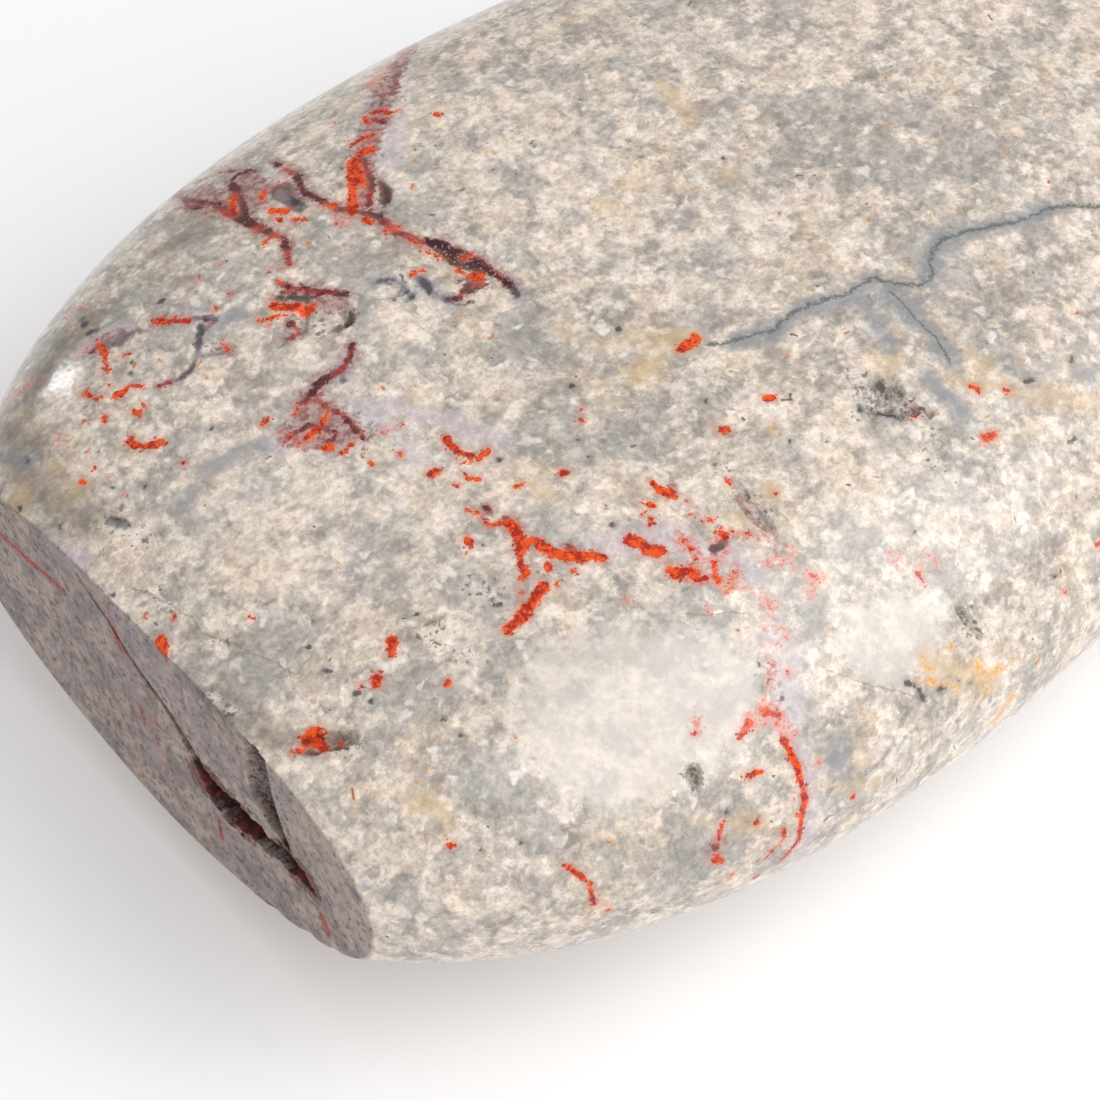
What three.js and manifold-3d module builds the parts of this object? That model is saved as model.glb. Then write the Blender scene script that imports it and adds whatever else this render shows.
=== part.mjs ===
// A chalcedony freeform: one polished stone that lies on its broad back, with its butt end sawn flat.
// Lengths are in millimetres. X runs from the sawn face to the rounded tip, Y across and Z up. The
// origin is under the middle of the stone, on the surface that it rests on.
import * as THREE from "three";
import { mergeVertices } from "three/addons/utils/BufferGeometryUtils.js";
import Module from "manifold-3d";

const wasm = await Module();
wasm.setup();

// Driving dimensions. The reaches, widths and heights are measured from the widest section.
const SAWN_REACH = 45;
const LEFT_HALF_WIDTH = 40;
const RIGHT_HALF_WIDTH = 41.4;
const CROWN_RISE = 16.3;
const BELLY_DROP = 20.1;
const REST_TRIM = 1.2;

// Each end closes at its reach. The powers say how bluntly its width and its height run in.
const BUTT = { reach: 55.7, widthPower: 2.2, heightPower: 2.5 };
const TIP = { reach: 74, widthPower: 2, heightPower: 2.5 };

// How full each quarter of the section is: 2 makes an ellipse, and more makes it squarer.
const UPPER_LEFT_FULLNESS = 3.1;
const UPPER_RIGHT_FULLNESS = 2.6;
const LOWER_RIGHT_FULLNESS = 1.9;
const LOWER_LEFT_FULLNESS = 2.1;

// The centre of the widest section, which puts the origin under the middle of the stone.
const CENTRE = new THREE.Vector3(
  (SAWN_REACH - TIP.reach) / 2,
  (RIGHT_HALF_WIDTH - LEFT_HALF_WIDTH) / 2,
  BELLY_DROP - REST_TRIM,
);
const SAWN_X = CENTRE.x - SAWN_REACH;

// How finely the surface is divided.
const SECTION_SIDES = 76;
const BUTT_RINGS = 14;
const TIP_RINGS = 25;

// Open pits in the crown: the middle, the size, and which way the length runs, in degrees from +X.
const CROWN_PITS = [
  { x: -3.7, y: -19.9, length: 4.8, width: 3.6, depth: 1.7, heading: 35 },
  { x: -2.6, y: -22.1, length: 1.9, width: 1.3, depth: 1.0, heading: -40 },
  { x: -1.4, y: -23.3, length: 1.1, width: 0.9, depth: 0.8, heading: 10 },
  { x: -3.4, y: -25.7, length: 3.0, width: 1.0, depth: 0.5, heading: -70 },
  { x: -9.6, y: -37.0, length: 3.6, width: 1.3, depth: 0.9, heading: -75 },
  { x: -35.4, y: -34.5, length: 1.7, width: 1.3, depth: 1.0, heading: 60 },
  { x: -30.8, y: 12.8, length: 1.9, width: 1.1, depth: 1.0, heading: 60 },
  { x: -33.4, y: 14.9, length: 3.6, width: 1.2, depth: 0.5, heading: 45 },
  { x: -20.2, y: 21.2, length: 2.6, width: 1.2, depth: 0.9, heading: 50 },
  { x: -26.4, y: 12.2, length: 3.0, width: 0.9, depth: 0.5, heading: -30 },
  { x: -55.6, y: -15.6, length: 5.0, width: 1.5, depth: 1.3, heading: -35 },
  { x: -43.8, y: -13.7, length: 3.4, width: 1.2, depth: 0.4, heading: -20 },
];

// An open scuff along the crown, from end to end.
const CROWN_SCUFF = [
  { x: -18.2, y: -18.6, halfWidth: 0.2, depth: 0.2 },
  { x: -18.5, y: -20.0, halfWidth: 0.6, depth: 0.6 },
  { x: -18.9, y: -21.8, halfWidth: 0.5, depth: 0.5 },
  { x: -18.7, y: -23.4, halfWidth: 0.6, depth: 0.6 },
  { x: -19.0, y: -25.0, halfWidth: 0.2, depth: 0.2 },
];

// The crevice across the sawn face: a crack from the upper edge that opens into two deep hollows.
const CREVICE = [
  { y: 10.4, z: 28.0, halfWidth: 0.15, depth: 0.4 },
  { y: 6.4, z: 25.7, halfWidth: 0.25, depth: 0.7 },
  { y: 1.6, z: 22.6, halfWidth: 0.3, depth: 0.9 },
  { y: -2.4, z: 20.1, halfWidth: 0.5, depth: 1.4 },
  { y: -4.8, z: 17.6, halfWidth: 0.9, depth: 2.6 },
  { y: -7.2, z: 16.4, halfWidth: 2.0, depth: 4.6 },
  { y: -9.8, z: 17.0, halfWidth: 1.6, depth: 4.2 },
  { y: -12.2, z: 17.1, halfWidth: 1.2, depth: 3.0 },
  { y: -13.8, z: 17.3, halfWidth: 1.0, depth: 2.2 },
  { y: -15.4, z: 17.8, halfWidth: 1.3, depth: 3.2 },
  { y: -16.9, z: 17.6, halfWidth: 0.9, depth: 2.6 },
  { y: -18.4, z: 16.8, halfWidth: 0.2, depth: 0.6 },
];

// The rough sliver that broke out of the sawn face above the crevice, as points round its edge.
const SLIVER_EDGE = [
  { y: -13.0, z: 30.5, depth: 2.1 },
  { y: -13.8, z: 24.6, depth: 1.9 },
  { y: -14.9, z: 21.3, depth: 1.5 },
  { y: -15.9, z: 19.2, depth: 0.5 },
  { y: -13.2, z: 20.2, depth: 0.7 },
  { y: -11.4, z: 21.4, depth: 0.4 },
  { y: -10.8, z: 24.2, depth: 0.4 },
  { y: -10.9, z: 30.5, depth: 0.5 },
];
const SLIVER_MIDDLE = { y: -12.9, z: 22.8, depth: 1.3 };
const SLIVER_CLEARANCE = 1;

// Chips out of the lower edge of the sawn face.
const EDGE_CHIPS = [
  { y: -13.2, z: 8.0, length: 2.4, width: 1.4, depth: 0.7 },
  { y: -17.4, z: 9.7, length: 2.8, width: 1.5, depth: 0.8 },
  { y: -20.6, z: 11.5, length: 1.8, width: 1.2, depth: 0.6 },
];

const degrees = THREE.MathUtils.degToRad;

// The section's fullness at an angle from +Y towards +Z. It passes smoothly through the four quarters.
function fullnessAt(angle) {
  const left = UPPER_LEFT_FULLNESS + LOWER_LEFT_FULLNESS;
  const right = UPPER_RIGHT_FULLNESS + LOWER_RIGHT_FULLNESS;
  const upper = UPPER_LEFT_FULLNESS + UPPER_RIGHT_FULLNESS;
  const lower = LOWER_LEFT_FULLNESS + LOWER_RIGHT_FULLNESS;
  const crossed = UPPER_LEFT_FULLNESS + LOWER_RIGHT_FULLNESS - UPPER_RIGHT_FULLNESS - LOWER_LEFT_FULLNESS;
  const sideways = ((left - right) * Math.cos(angle) + (upper - lower) * Math.sin(angle)) * Math.SQRT1_2;
  return (left + right + crossed * Math.sin(2 * angle)) / 4 + sideways / 2;
}

// The ground surface at a distance along X from the widest section, and an angle round the section.
function surfaceAt(station, angle) {
  const across = Math.cos(angle);
  const up = Math.sin(angle);
  const fullness = fullnessAt(angle);
  const radius = (Math.abs(across) ** fullness + Math.abs(up) ** fullness) ** (-1 / fullness);
  const end = station < 0 ? BUTT : TIP;
  const run = Math.min(Math.abs(station) / end.reach, 1);
  const width = (1 - run ** end.widthPower) ** (1 / end.widthPower);
  const height = Math.sqrt(1 - run ** end.heightPower);
  const halfWidth = across > 0 ? LEFT_HALF_WIDTH : RIGHT_HALF_WIDTH;
  const halfHeight = up > 0 ? CROWN_RISE : BELLY_DROP;
  const local = new THREE.Vector3(station, halfWidth * across * radius * width, halfHeight * up * radius * height);
  return local.add(CENTRE);
}

// The point of the crown over a place in plan, found by halving the range of angles, and the way out there.
function crownAt(x, y) {
  const station = x - CENTRE.x;
  let low = 0;
  let high = Math.PI;
  while (high - low > 1e-6) {
    const middle = (low + high) / 2;
    if (surfaceAt(station, middle).y > y) low = middle;
    else high = middle;
  }
  const step = 1e-3;
  const point = surfaceAt(station, low);
  const along = surfaceAt(station + step, low).sub(point);
  const round = surfaceAt(station, low + step).sub(point);
  return { point, out: round.cross(along).negate().normalize() };
}

// A closed surface through rings of points, with a fan from a middle point over each end.
function loft(rings, startMiddle, endMiddle) {
  const sides = rings[0].length;
  const points = [startMiddle, ...rings.flat(), endMiddle];
  const end = points.length - 1;
  const at = (ring, side) => 1 + ring * sides + (side % sides);
  const faces = [];
  for (let side = 0; side < sides; side += 1) {
    faces.push(0, at(0, side + 1), at(0, side));
    faces.push(end, at(rings.length - 1, side), at(rings.length - 1, side + 1));
    for (let ring = 0; ring + 1 < rings.length; ring += 1) {
      faces.push(at(ring, side), at(ring, side + 1), at(ring + 1, side + 1));
      faces.push(at(ring, side), at(ring + 1, side + 1), at(ring + 1, side));
    }
  }
  const geometry = new THREE.BufferGeometry().setFromPoints(points);
  geometry.setIndex(faces);
  return geometry;
}

// A closed geometry as a solid that can be joined and cut.
function solidFrom(geometry) {
  const bare = geometry.clone();
  bare.deleteAttribute("normal");
  bare.deleteAttribute("uv");
  const merged = mergeVertices(bare, 1e-5);
  const vertProperties = merged.getAttribute("position").array;
  const triVerts = new Uint32Array(merged.index.array);
  return new wasm.Manifold(new wasm.Mesh({ numProp: 3, vertProperties, triVerts }));
}

// A solid as a geometry that can be shown.
function geometryFrom(solid) {
  const mesh = solid.getMesh();
  const geometry = new THREE.BufferGeometry();
  geometry.setAttribute("position", new THREE.BufferAttribute(mesh.vertProperties, 3));
  geometry.setIndex(new THREE.BufferAttribute(mesh.triVerts, 1));
  geometry.computeVertexNormals();
  return geometry;
}

// The stone as ground, before its flaws: rings from the sawn face to the tip.
function groundBody() {
  const sawnAngle = Math.asin(-SAWN_REACH / BUTT.reach);
  const stations = [];
  for (let k = 0; k < BUTT_RINGS; k += 1) {
    stations.push(BUTT.reach * Math.sin(sawnAngle * (1 - k / BUTT_RINGS)));
  }
  for (let k = 0; k < TIP_RINGS; k += 1) {
    stations.push(TIP.reach * Math.sin((Math.PI / 2) * (k / TIP_RINGS)));
  }
  const rings = stations.map((station) =>
    Array.from({ length: SECTION_SIDES }, (_, k) => surfaceAt(station, (2 * Math.PI * k) / SECTION_SIDES)),
  );
  const sawnMiddle = new THREE.Vector3(SAWN_X, CENTRE.y, CENTRE.z);
  return loft(rings, sawnMiddle, surfaceAt(TIP.reach, 0));
}

// What is worn away under the stone, which leaves the small flat spot that it rests on.
function belowRest() {
  const thickness = 10;
  const box = new THREE.BoxGeometry(2 * TIP.reach, 2 * (LEFT_HALF_WIDTH + RIGHT_HALF_WIDTH), thickness);
  return box.translate(0, 0, -thickness / 2);
}

// A number from -1 to 1 that looks random and is the same each time for a place.
function unevenness(x, y, z) {
  const wave = Math.sin(x * 12.99 + y * 78.23 + z * 37.72) * 43758.55;
  return 2 * (wave - Math.floor(wave)) - 1;
}

// A lumpy pit tool, half in the stone: its length lies along a direction, and its depth against out.
function pitTool(point, out, along, { length, width, depth }) {
  const lump = new THREE.IcosahedronGeometry(1, 1);
  const positions = lump.getAttribute("position");
  const roughness = 0.16;
  for (let k = 0; k < positions.count; k += 1) {
    const vertex = new THREE.Vector3().fromBufferAttribute(positions, k);
    const [x, y, z] = vertex.toArray().map((value) => Math.round(value * 100) / 100);
    vertex.multiplyScalar(1 + roughness * unevenness(x + length, y + width, z + depth));
    positions.setXYZ(k, vertex.x * (length / 2), vertex.y * (width / 2), vertex.z * depth);
  }
  const side = out.clone().cross(along).normalize();
  const forward = side.clone().cross(out);
  const turn = new THREE.Matrix4().makeBasis(forward, side, out).setPosition(point);
  return lump.applyMatrix4(turn);
}

// A furrow tool through stops, each with its point, half width and depth. Every stop shares one way out.
function furrowTool(stops, out) {
  const sides = 10;
  const rings = stops.map((stop, k) => {
    const before = stops[Math.max(k - 1, 0)].point;
    const after = stops[Math.min(k + 1, stops.length - 1)].point;
    const along = after.clone().sub(before).normalize();
    const side = out.clone().cross(along).normalize();
    return Array.from({ length: sides }, (_, j) => {
      const angle = (2 * Math.PI * j) / sides;
      const wobble = 1 + 0.12 * unevenness(k, j, stop.depth);
      return stop.point
        .clone()
        .addScaledVector(side, stop.halfWidth * wobble * Math.cos(angle))
        .addScaledVector(out, stop.depth * wobble * Math.sin(angle));
    });
  });
  return loft(rings, stops[0].point, stops.at(-1).point);
}

function crownPits() {
  return CROWN_PITS.map((pit) => {
    const { point, out } = crownAt(pit.x, pit.y);
    const along = new THREE.Vector3(Math.cos(degrees(pit.heading)), Math.sin(degrees(pit.heading)), 0);
    return pitTool(point, out, along, pit);
  });
}

function crownScuff() {
  const stops = CROWN_SCUFF.map((stop) => ({ ...stop, point: crownAt(stop.x, stop.y).point }));
  const middle = CROWN_SCUFF[Math.floor(CROWN_SCUFF.length / 2)];
  return furrowTool(stops, crownAt(middle.x, middle.y).out);
}

function crevice() {
  const stops = CREVICE.map((stop) => ({ ...stop, point: new THREE.Vector3(SAWN_X, stop.y, stop.z) }));
  return furrowTool(stops, new THREE.Vector3(-1, 0, 0));
}

function sliver() {
  const outside = SLIVER_EDGE.map(({ y, z }) => new THREE.Vector3(SAWN_X - SLIVER_CLEARANCE, y, z));
  const floor = SLIVER_EDGE.map(({ y, z, depth }) => new THREE.Vector3(SAWN_X + depth, y, z));
  const { y, z, depth } = SLIVER_MIDDLE;
  const outsideMiddle = new THREE.Vector3(SAWN_X - SLIVER_CLEARANCE, y, z);
  return loft([outside, floor], outsideMiddle, new THREE.Vector3(SAWN_X + depth, y, z));
}

function edgeChips() {
  const out = new THREE.Vector3(-1, 0, -1).normalize();
  return EDGE_CHIPS.map((chip) =>
    pitTool(new THREE.Vector3(SAWN_X, chip.y, chip.z), out, new THREE.Vector3(0, -1, 0.4), chip),
  );
}

function stoneGeometry() {
  const tools = [belowRest(), ...crownPits(), crownScuff(), crevice(), sliver(), ...edgeChips()];
  const cut = (solid, tool) => solid.subtract(solidFrom(tool));
  return geometryFrom(tools.reduce(cut, solidFrom(groundBody())));
}

const polishedStone = new THREE.MeshStandardMaterial({ color: 0xb8b2a6, roughness: 0.25, metalness: 0 });

const stone = new THREE.Mesh(stoneGeometry(), polishedStone);
stone.name = "stone";

const group = new THREE.Group();
group.add(stone);

export default group;
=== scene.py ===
# A chalcedony freeform: one polished stone that lies on its broad back, with its butt end sawn flat.
# Lengths are in millimetres until a mesh, light or camera is made. X runs from the sawn face to the tip.
import math

import bmesh
import bpy
import numpy as np
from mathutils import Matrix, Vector, noise
from mathutils.bvhtree import BVHTree


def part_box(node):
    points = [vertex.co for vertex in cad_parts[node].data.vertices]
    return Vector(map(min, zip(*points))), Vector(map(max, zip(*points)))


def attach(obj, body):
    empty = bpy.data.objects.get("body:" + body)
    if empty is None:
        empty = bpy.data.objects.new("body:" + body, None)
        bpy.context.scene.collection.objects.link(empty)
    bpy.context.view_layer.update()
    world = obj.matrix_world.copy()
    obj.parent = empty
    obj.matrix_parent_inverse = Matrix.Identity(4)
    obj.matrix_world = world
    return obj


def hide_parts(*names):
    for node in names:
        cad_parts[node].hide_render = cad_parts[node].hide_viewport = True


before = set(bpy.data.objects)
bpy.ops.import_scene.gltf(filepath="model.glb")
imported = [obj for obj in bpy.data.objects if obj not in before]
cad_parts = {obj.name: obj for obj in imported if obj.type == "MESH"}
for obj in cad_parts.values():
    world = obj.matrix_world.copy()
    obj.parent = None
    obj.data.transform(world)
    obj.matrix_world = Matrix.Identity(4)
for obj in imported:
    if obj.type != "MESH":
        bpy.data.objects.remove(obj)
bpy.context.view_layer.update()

MM = 0.001
low, high = (np.array(corner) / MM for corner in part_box("stone"))

# The body, as shares of the frame's own sizes. Each is measured from the widest section.
SAWN_REACH = 45 / 119 * (high[0] - low[0])
TIP_REACH = (high[0] - low[0]) - SAWN_REACH
LEFT_HALF_WIDTH = 40 / 81.4 * (high[1] - low[1])
RIGHT_HALF_WIDTH = (high[1] - low[1]) - LEFT_HALF_WIDTH
CROWN_RISE = 16.3 / 35.2 * (high[2] - low[2])
REST_TRIM = 1.2
BELLY_DROP = (high[2] - low[2]) - CROWN_RISE + REST_TRIM
CENTRE = np.array([low[0] + SAWN_REACH, high[1] - LEFT_HALF_WIDTH, high[2] - CROWN_RISE])

# Where the butt would close if it weren't sawn off, and how bluntly each end runs in.
BUTT_REACH = 1.238 * SAWN_REACH
BUTT_WIDTH_POWER = 2.2
TIP_WIDTH_POWER = 2.0
HEIGHT_POWER = 2.5

# How full each quarter of the section is: 2 makes an ellipse, and more makes it squarer.
UPPER_LEFT_FULLNESS = 3.1
UPPER_RIGHT_FULLNESS = 2.6
LOWER_RIGHT_FULLNESS = 1.9
LOWER_LEFT_FULLNESS = 2.1

# The sawn face is a run of rings from the cut edge to its middle, past the end of the ground surface.
CUT_MIDDLE = np.array([0.2, 18.0])
CUT_SPAN = 25.0
CUT_EDGE_BREAK = 0.15
CUT_FIRST_RING = 0.01

# The mesh: the spacing on the crown and on the belly, which starts below this sine of the angle. Then
# the gaps to a marking inside which the spacing is halved, and halved again.
CROWN_SPACING = 0.85
BELLY_SPACING = 2.2
BELLY_BELOW = -0.35
REFINED_WITHIN = (0.8, 0.3)
# How finely curves are sampled, the angle that is kept clear of the two ends of the crown's section,
# and the small step that slopes are measured over.
SAMPLES = 4000
END_ANGLE = 0.02
NUDGE = 1e-4

# The camera, fitted to the photo's outline. The photo is square, and pixels run right and down.
PHOTO_SIZE = 1100
CAMERA_AT = np.array([-170.85, -178.58, 307.84])
CAMERA_AIM = np.array([-25.45, -5.90, 18.9])
LENS = 150
SENSOR = 36
STEP_PIXELS = 5


def fullness_at(angle):
    """The section's fullness at an angle from +Y towards +Z, passing smoothly through the quarters."""
    left = UPPER_LEFT_FULLNESS + LOWER_LEFT_FULLNESS
    right = UPPER_RIGHT_FULLNESS + LOWER_RIGHT_FULLNESS
    upper = UPPER_LEFT_FULLNESS + UPPER_RIGHT_FULLNESS
    lower = LOWER_LEFT_FULLNESS + LOWER_RIGHT_FULLNESS
    crossed = UPPER_LEFT_FULLNESS + LOWER_RIGHT_FULLNESS - UPPER_RIGHT_FULLNESS - LOWER_LEFT_FULLNESS
    sideways = ((left - right) * np.cos(angle) + (upper - lower) * np.sin(angle)) * math.sqrt(0.5)
    return (left + right + crossed * np.sin(2 * angle)) / 4 + sideways / 2


def ground_surface(station, angle):
    """The ground surface at distances along X from the widest section and angles round the section."""
    across, up = np.cos(angle), np.sin(angle)
    fullness = fullness_at(angle)
    radius = (np.abs(across) ** fullness + np.abs(up) ** fullness) ** (-1 / fullness)
    behind = station < 0
    run = np.minimum(np.abs(station) / np.where(behind, BUTT_REACH, TIP_REACH), 1)
    power = np.where(behind, BUTT_WIDTH_POWER, TIP_WIDTH_POWER)
    width = (1 - run**power) ** (1 / power) * np.where(across > 0, LEFT_HALF_WIDTH, RIGHT_HALF_WIDTH)
    height = np.sqrt(1 - run**HEIGHT_POWER) * np.where(up > 0, CROWN_RISE, BELLY_DROP)
    local = np.stack([station, across * radius * width, up * radius * height], axis=-1)
    return local + CENTRE


def stone_surface(station, angle):
    """The whole outside: the ground surface, trimmed flat where it rests, then the sawn face beyond it."""
    points = ground_surface(np.maximum(station, -SAWN_REACH), angle)
    inset = np.clip((-SAWN_REACH - station) / CUT_SPAN, 0, 1)
    points[..., 1:] += (CUT_MIDDLE - points[..., 1:]) * inset[..., None]
    points[..., 2] = np.maximum(points[..., 2], 0)
    return points


def spaced(values, positions, spacing):
    """Values picked along a line of positions so that neighbours lie about a spacing apart."""
    steps = np.linalg.norm(np.diff(positions, axis=0), axis=1) / spacing[1:]
    walked = np.concatenate([[0], np.cumsum(steps)])
    count = int(math.ceil(walked[-1])) + 1
    return np.interp(np.linspace(0, walked[-1], count), walked, values)


def ring_angles():
    """Angles round the section from the bottom of the belly and back to it, finer over the crown."""
    angles = np.linspace(-math.pi / 2, 1.5 * math.pi, SAMPLES)
    spacing = np.where(np.sin(angles) > BELLY_BELOW, CROWN_SPACING, BELLY_SPACING)
    return spaced(angles, ground_surface(np.zeros_like(angles), angles), spacing)


def ring_stations():
    """Stations of the rings from the tip to the sawn edge, then on to the middle of the sawn face."""
    stations = np.linspace(TIP_REACH, CUT_EDGE_BREAK - SAWN_REACH, SAMPLES)
    side = ground_surface(stations, np.zeros_like(stations))
    ground = spaced(stations, side, np.full_like(stations, CROWN_SPACING))
    first = -SAWN_REACH - CUT_FIRST_RING * CUT_SPAN
    cut = np.linspace(first, -SAWN_REACH - CUT_SPAN, int(CUT_SPAN / CROWN_SPACING))
    return np.concatenate([ground, cut])


def grid_mesh(stations, angles):
    """A bmesh of the stone laid out flat, with the station and the angle as its coordinates."""
    sheet = bmesh.new()
    rows = [[sheet.verts.new((s, a, 0)) for a in angles] for s in stations]
    for row, following in zip(rows, rows[1:]):
        for k in range(len(angles) - 1):
            sheet.faces.new((row[k], row[k + 1], following[k + 1], following[k]))
    return sheet


def sheet_coordinates(sheet):
    return np.array([v.co for v in sheet.verts]).reshape(-1, 3)


def on_stone(sheet):
    flat = sheet_coordinates(sheet)
    return stone_surface(flat[:, 0], flat[:, 1])


class PhotoRays:
    """Casts the photo's pixels onto the stone, and finds the pixel that a point of the stone falls on."""

    def __init__(self):
        sheet = grid_mesh(ring_stations(), ring_angles())
        corners = on_stone(sheet)
        sheet.verts.index_update()
        faces = [[v.index for v in face.verts] for face in sheet.faces]
        sheet.free()
        self.tree = BVHTree.FromPolygons([Vector(c) for c in corners], faces)
        self.back = CAMERA_AT - CAMERA_AIM
        self.back /= np.linalg.norm(self.back)
        self.right = np.cross([0, 0, 1], self.back)
        self.right /= np.linalg.norm(self.right)
        self.up = np.cross(self.back, self.right)
        self.focal = LENS / SENSOR * PHOTO_SIZE

    def cast(self, pixel):
        across, down = (c - PHOTO_SIZE / 2 for c in pixel)
        way = across / self.focal * self.right - down / self.focal * self.up - self.back
        hit = self.tree.ray_cast(Vector(CAMERA_AT), Vector(way).normalized())[0]
        return None if hit is None else np.array(hit)

    def pixels(self, points):
        away = points - CAMERA_AT
        depth = -(away @ self.back)
        across = away @ self.right / depth * self.focal
        down = -(away @ self.up) / depth * self.focal
        return np.stack([across, down], axis=-1) + PHOTO_SIZE / 2

    def path(self, pixels):
        """The points of a line drawn in the photo, where it lies on the stone."""
        stops = [np.array(pixels[0], float)]
        for start, end in zip(pixels, pixels[1:]):
            start, end = np.array(start, float), np.array(end, float)
            count = max(1, int(np.linalg.norm(end - start) / STEP_PIXELS))
            stops += [start + (end - start) * k / count for k in range(1, count + 1)]
        hits = [self.cast(stop) for stop in stops]
        return np.array([hit for hit in hits if hit is not None])


# Markings, drawn over the photo: half widths in millimetres, each with the strokes of that width. A
# stroke is a run of pixels, given as x, y, x, y and so on.
CINNABAR = {
    0.55: [(355, 183, 354, 170, 353, 162)],
    0.5: [
        (517, 534, 521, 542, 522, 549), (541, 546, 553, 553, 566, 556, 582, 557), (528, 609, 519, 620),
        (630, 541, 640, 543, 648, 549, 659, 551),
    ],
    0.42: [
        (304, 309, 312, 309), (508, 524, 515, 530), (582, 557, 593, 555, 602, 558), (518, 621, 509, 630),
        (715, 859, 719, 861), (161, 642, 164, 654), (376, 677, 375, 684), (305, 738, 318, 732),
    ],
    0.4: [(544, 586, 537, 596), (662, 491, 673, 494), (130, 441, 136, 446)],
    0.38: [(353, 213, 352, 200, 352, 186), (359, 154, 364, 152, 371, 149), (314, 740, 322, 746)],
    0.36: [
        (474, 277, 480, 277), (274, 307, 286, 308, 299, 307), (722, 533, 725, 535),
        (136, 446, 146, 446, 160, 443),
    ],
    0.34: [
        (414, 43, 407, 48, 398, 52), (528, 541, 537, 541, 545, 549, 553, 553), (537, 596, 533, 605),
        (468, 541, 470, 544), (676, 576, 690, 570, 697, 573), (683, 349, 690, 343, 697, 338),
        (767, 397, 773, 397), (393, 639, 392, 654),
    ],
    0.32: [(271, 211, 287, 211), (431, 474, 437, 472), (521, 549, 520, 564, 526, 572, 522, 577)],
    0.3: [
        (374, 113, 382, 111, 390, 113), (329, 206, 333, 206), (563, 473, 567, 473), (671, 571, 684, 571),
        (156, 322, 172, 321, 188, 321), (722, 430, 728, 430), (322, 916, 328, 934),
    ],
    0.28: [
        (172, 321, 189, 321), (783, 740, 789, 751, 797, 764, 800, 778, 804, 791, 805, 799),
        (213, 786, 226, 797), (291, 866, 302, 876),
    ],
    0.26: [(446, 438, 451, 445, 457, 451, 471, 457), (653, 484, 662, 491)],
    0.24: [
        (352, 145, 362, 139, 374, 135), (364, 118, 368, 122), (233, 197, 234, 214), (305, 440, 314, 432),
        (478, 459, 488, 450), (649, 505, 655, 506), (805, 799, 802, 812, 800, 828, 799, 839, 793, 847),
        (757, 876), (135, 412, 139, 414), (451, 846),
    ],
    0.22: [
        (361, 172, 364, 186), (387, 231, 400, 226), (690, 576, 700, 580, 706, 577),
        (762, 709, 770, 713, 779, 715), (98, 343, 104, 351, 106, 364, 107, 370),
        (115, 396, 124, 391, 130, 385, 141, 386), (84, 394, 92, 397, 101, 398),
        (568, 867, 580, 875, 589, 883, 594, 904), (985, 438, 993, 434), (972, 386, 978, 391),
        (0, 533, 26, 558, 51, 579, 64, 591),
    ],
    0.2: [
        (277, 219, 281, 219), (294, 219, 302, 219), (226, 214), (288, 171), (336, 223),
        (409, 239, 415, 242), (260, 321, 270, 319, 281, 315), (297, 408), (268, 419, 262, 425),
        (290, 437), (299, 445), (325, 448, 332, 448), (548, 564, 550, 569), (573, 571),
        (651, 519, 650, 525), (690, 547, 692, 550), (724, 822, 721, 830, 718, 839),
        (745, 777, 753, 774, 760, 772), (749, 722), (582, 409), (447, 683), (610, 910), (753, 776),
        (694, 735), (300, 748, 294, 752), (361, 685), (748, 724, 740, 737), (1100, 543, 1098, 546),
        (112, 628, 121, 650),
    ],
    0.18: [
        (265, 189, 262, 198), (265, 243, 274, 236), (728, 479, 729, 482), (787, 672), (79, 482, 86, 483),
        (224, 344, 229, 350), (912, 415, 917, 413), (339, 741),
    ],
    0.16: [
        (436, 113, 439, 115), (364, 219, 373, 223), (463, 258, 474, 253), (458, 270, 466, 275),
        (412, 275, 422, 270), (328, 410, 324, 420, 319, 431), (294, 415), (342, 453, 350, 445),
        (481, 517, 488, 524, 505, 524), (557, 583), (668, 498, 671, 488), (709, 519, 712, 522),
        (731, 581, 736, 573), (783, 830, 784, 839, 774, 849, 766, 858), (104, 416, 105, 420), (818, 761),
        (580, 420), (1004, 390, 1008, 391), (918, 573, 923, 582), (1063, 592, 1065, 594),
        (139, 705, 145, 724),
    ],
    0.15: [(627, 601), (691, 515)],
    0.14: [
        (266, 202), (278, 183), (192, 205), (207, 212), (289, 265), (197, 280), (372, 464), (520, 592),
        (688, 501), (733, 532, 742, 534, 752, 535), (684, 541, 688, 540), (713, 562, 715, 575, 718, 581),
        (812, 574, 818, 579), (793, 847, 787, 854, 781, 860), (732, 875), (757, 822),
        (143, 406, 147, 405), (184, 464), (125, 494), (853, 797), (250, 617), (219, 818, 222, 839),
    ],
    0.13: [(335, 122), (516, 488, 522, 484), (466, 510, 475, 512)],
    0.12: [
        (256, 231), (284, 254), (280, 282), (230, 294), (215, 309), (268, 325), (400, 427), (401, 454),
        (467, 553), (642, 513), (702, 520), (694, 558, 693, 564), (776, 724), (121, 356, 129, 353),
        (109, 385), (84, 408), (175, 618),
    ],
    0.1: [
        (390, 113, 400, 110), (218, 264), (270, 269), (419, 246, 431, 253, 443, 260),
        (457, 458, 471, 463), (461, 471, 468, 478, 480, 480), (457, 486), (642, 503, 645, 505),
        (776, 493), (95, 468),
    ],
}
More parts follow.
